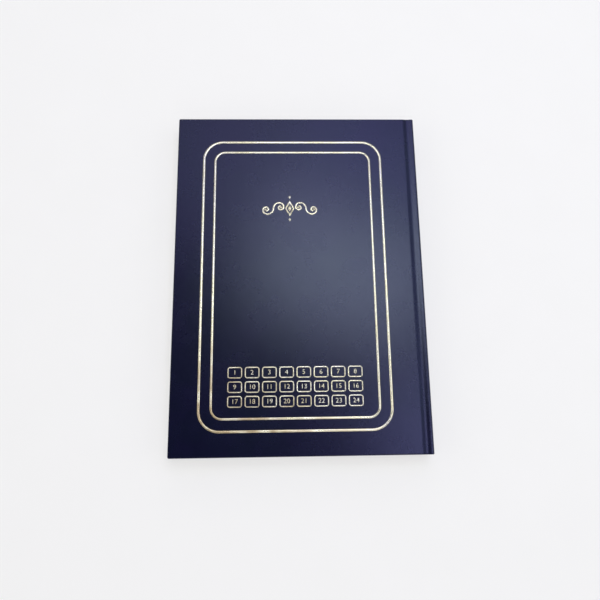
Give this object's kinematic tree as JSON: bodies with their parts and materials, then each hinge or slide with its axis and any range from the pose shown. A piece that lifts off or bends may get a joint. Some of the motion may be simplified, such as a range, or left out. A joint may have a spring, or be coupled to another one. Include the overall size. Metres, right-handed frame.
{
  "type": "log book",
  "caption": "Case-bound A4 log book: sewn sections of leaves between two hinged cloth-covered boards and a flat spine.",
  "frame": {"origin": "on the outer face of the rear cover, under the middle of the closed book", "axes": "+X to the spine, +Y to the head, +Z out of the front cover"},
  "size_m": [0.2172, 0.303, 0.019],
  "materials": {
    "cover_cloth": "navy coated leatherette bookcloth, semi-gloss, with a gold foil design",
    "greyboard": "matt pressed greyboard",
    "leaves": "uncoated ledger paper, ruled in grey-blue and red",
    "endpaper": "smooth white endpaper",
    "mull": "open starched cotton gauze",
    "kraft_lining": "brown kraft paper",
    "sewing_thread": "waxed linen thread",
    "end_band": "navy and white worked band"
  },
  "bodies": {
    "text_block": {"section_04": "leaves", "section_05": "leaves", "section_06": "leaves", "section_07": "leaves", "head_kettle_stitch": "sewing_thread", "tail_kettle_stitch": "sewing_thread", "link_stitch_1": "sewing_thread", "link_stitch_2": "sewing_thread", "link_stitch_3": "sewing_thread", "link_stitch_4": "sewing_thread", "headband": "end_band", "tailband": "end_band", "spine_mull": "mull", "spine_lining": "kraft_lining", "spine_board": "greyboard", "spine_cloth": "cover_cloth"},
    "front_cover": {"front_cover_cloth": "cover_cloth", "front_board": "greyboard", "front_mull_flap": "mull", "front_pastedown": "endpaper"},
    "front_flyleaf": {"front_flyleaf": "endpaper"},
    "section_01": {"section_01": "leaves"},
    "section_02": {"section_02": "leaves"},
    "section_03": {"section_03": "leaves"},
    "rear_cover": {"rear_cover_cloth": "cover_cloth", "rear_board": "greyboard", "rear_mull_flap": "mull", "rear_pastedown": "endpaper"},
    "rear_flyleaf": {"rear_flyleaf": "endpaper"},
    "section_10": {"section_10": "leaves"},
    "section_09": {"section_09": "leaves"},
    "section_08": {"section_08": "leaves"}
  },
  "joints": [
    {"name": "front_cover_hinge", "type": "hinge", "parent": "text_block", "child": "front_cover", "pos_m": [0.10621, 0, 0.01922], "axis": [0, 1, 0], "range_deg": [0, 175]},
    {"name": "front_flyleaf_turn", "type": "hinge", "parent": "text_block", "child": "front_flyleaf", "pos_m": [0.10461, 0, 0.01535], "axis": [0, 1, 0], "range_deg": [0, 90]},
    {"name": "section_01_turn", "type": "hinge", "parent": "text_block", "child": "section_01", "pos_m": [0.10461, 0, 0.01535], "axis": [0, 1, 0], "range_deg": [0, 67]},
    {"name": "section_02_turn", "type": "hinge", "parent": "text_block", "child": "section_02", "pos_m": [0.10461, 0, 0.01535], "axis": [0, 1, 0], "range_deg": [0, 46]},
    {"name": "section_03_turn", "type": "hinge", "parent": "text_block", "child": "section_03", "pos_m": [0.10461, 0, 0.01535], "axis": [0, 1, 0], "range_deg": [0, 23]},
    {"name": "rear_cover_hinge", "type": "hinge", "parent": "text_block", "child": "rear_cover", "pos_m": [0.10621, 0, -0.00025], "axis": [0, -1, 0], "range_deg": [0, 175]},
    {"name": "rear_flyleaf_turn", "type": "hinge", "parent": "text_block", "child": "rear_flyleaf", "pos_m": [0.10461, 0, 0.00362], "axis": [0, -1, 0], "range_deg": [0, 90]},
    {"name": "section_10_turn", "type": "hinge", "parent": "text_block", "child": "section_10", "pos_m": [0.10461, 0, 0.00362], "axis": [0, -1, 0], "range_deg": [0, 67]},
    {"name": "section_09_turn", "type": "hinge", "parent": "text_block", "child": "section_09", "pos_m": [0.10461, 0, 0.00362], "axis": [0, -1, 0], "range_deg": [0, 46]},
    {"name": "section_08_turn", "type": "hinge", "parent": "text_block", "child": "section_08", "pos_m": [0.10461, 0, 0.00362], "axis": [0, -1, 0], "range_deg": [0, 23]}
  ],
  "couplings": [
    {"joint": "front_flyleaf_turn", "follows": "front_cover_hinge", "ratio": 0.5},
    {"joint": "section_01_turn", "follows": "front_cover_hinge", "ratio": 0.38},
    {"joint": "section_02_turn", "follows": "front_cover_hinge", "ratio": 0.26},
    {"joint": "section_03_turn", "follows": "front_cover_hinge", "ratio": 0.13},
    {"joint": "rear_flyleaf_turn", "follows": "rear_cover_hinge", "ratio": 0.5},
    {"joint": "section_10_turn", "follows": "rear_cover_hinge", "ratio": 0.38},
    {"joint": "section_09_turn", "follows": "rear_cover_hinge", "ratio": 0.26},
    {"joint": "section_08_turn", "follows": "rear_cover_hinge", "ratio": 0.13}
  ]
}
